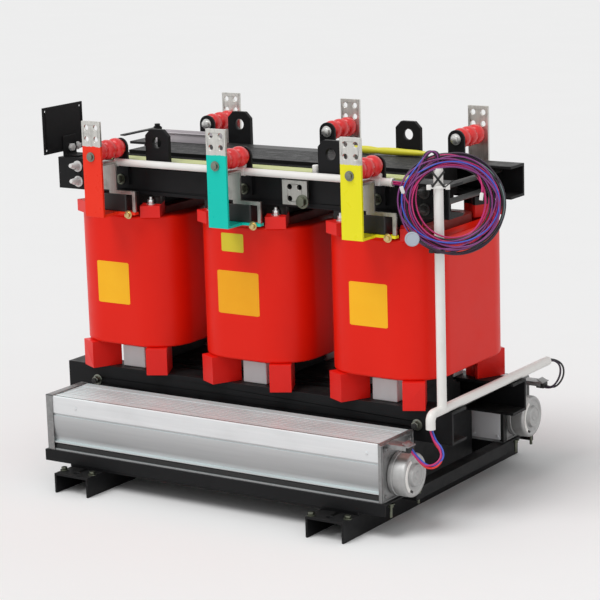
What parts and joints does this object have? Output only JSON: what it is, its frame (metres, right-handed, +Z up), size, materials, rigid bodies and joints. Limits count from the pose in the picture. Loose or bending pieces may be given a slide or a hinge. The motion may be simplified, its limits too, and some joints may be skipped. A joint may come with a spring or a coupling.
{
  "type": "dry-type power transformer",
  "caption": "Open three-phase dry-type power transformer: red cast resin coils on a clamped core, coloured busbars, blowers along both sides, on two skids.",
  "frame": {"origin": "on the floor, below the middle of the object's box without its loose wires", "axes": "+X along the row of coils, +Y from the side with coloured bars to the rear, +Z up"},
  "size_m": [1.1232, 0.746, 0.825],
  "materials": {
    "black_steel": "semi-gloss black enamel with dust",
    "zinc_steel": "zinc plated, satin",
    "core_steel": "laminated edges under dark grey varnish",
    "red_resin": "semi-gloss cast resin",
    "red_blocks": "semi-gloss moulded resin",
    "inner_resin": "resin soaked wrap, satin",
    "grey_block": "moulded, matt",
    "black_block": "moulded, matt",
    "insulation_board": "pale laminate, satin",
    "bar_red": "gloss paint below a bare tinned pad",
    "bar_teal": "gloss paint below a bare tinned pad",
    "bar_yellow": "gloss paint below a bare tinned pad",
    "tinned_copper": "tinned copper, satin",
    "insulator_red": "moulded, gloss",
    "fan_aluminium": "extruded, satin",
    "fan_plate": "galvanised sheet, satin",
    "motor_cast": "die cast, satin",
    "white_pipe": "white tube, semi-gloss",
    "wires": "sheathed wires, satin",
    "plug_grey": "moulded, satin"
  },
  "bodies": {
    "root": {"coil_feet": "red_blocks", "connector": "plug_grey", "controller_bracket": "black_steel", "controller_plate": "black_steel", "core_limbs": "core_steel", "cross_bars": "black_steel", "fan_rail_front": "black_steel", "fan_rail_rear": "black_steel", "fan_terminals": "black_block", "front_bar_left": "bar_red", "front_bar_middle": "bar_teal", "front_bar_right": "bar_yellow", "front_fan_casing": "fan_aluminium", "front_fan_end_plates": "fan_plate", "front_fan_leads": "wires", "front_fan_motor": "motor_cast", "front_insulators": "insulator_red", "front_leads": "tinned_copper", "inner_coil_blocks": "grey_block", "inner_coils": "inner_resin", "insulation_strips": "insulation_board", "insulator_straps": "black_steel", "lead_blocks": "black_block", "lifting_lugs_front": "black_steel", "lifting_lugs_rear": "black_steel", "lower_clamp_front": "black_steel", "lower_clamp_rear": "black_steel", "lower_yoke": "core_steel", "neutral_bar": "tinned_copper", "outer_coil_left": "red_resin", "outer_coil_middle": "red_resin", "outer_coil_right": "red_resin", "pedestal_left": "black_steel", "pedestal_right": "black_steel", "press_blocks": "red_blocks", "rear_bar_left": "tinned_copper", "rear_bar_middle": "tinned_copper", "rear_bar_right": "tinned_copper", "rear_fan_casing": "fan_aluminium", "rear_fan_end_plates": "fan_plate", "rear_fan_leads": "wires", "rear_fan_motor": "motor_cast", "rear_insulators": "insulator_red", "riser": "white_pipe", "side_conduit": "white_pipe", "side_rail_left": "black_steel", "side_rail_right": "black_steel", "skid_left": "black_steel", "skid_right": "black_steel", "tie_rods": "zinc_steel", "top_conduit": "white_pipe", "upper_clamp_front": "black_steel", "upper_clamp_rear": "black_steel", "upper_yoke": "core_steel", "wire_coil": "wires", "wire_leads": "wires"}
  },
  "joints": []
}
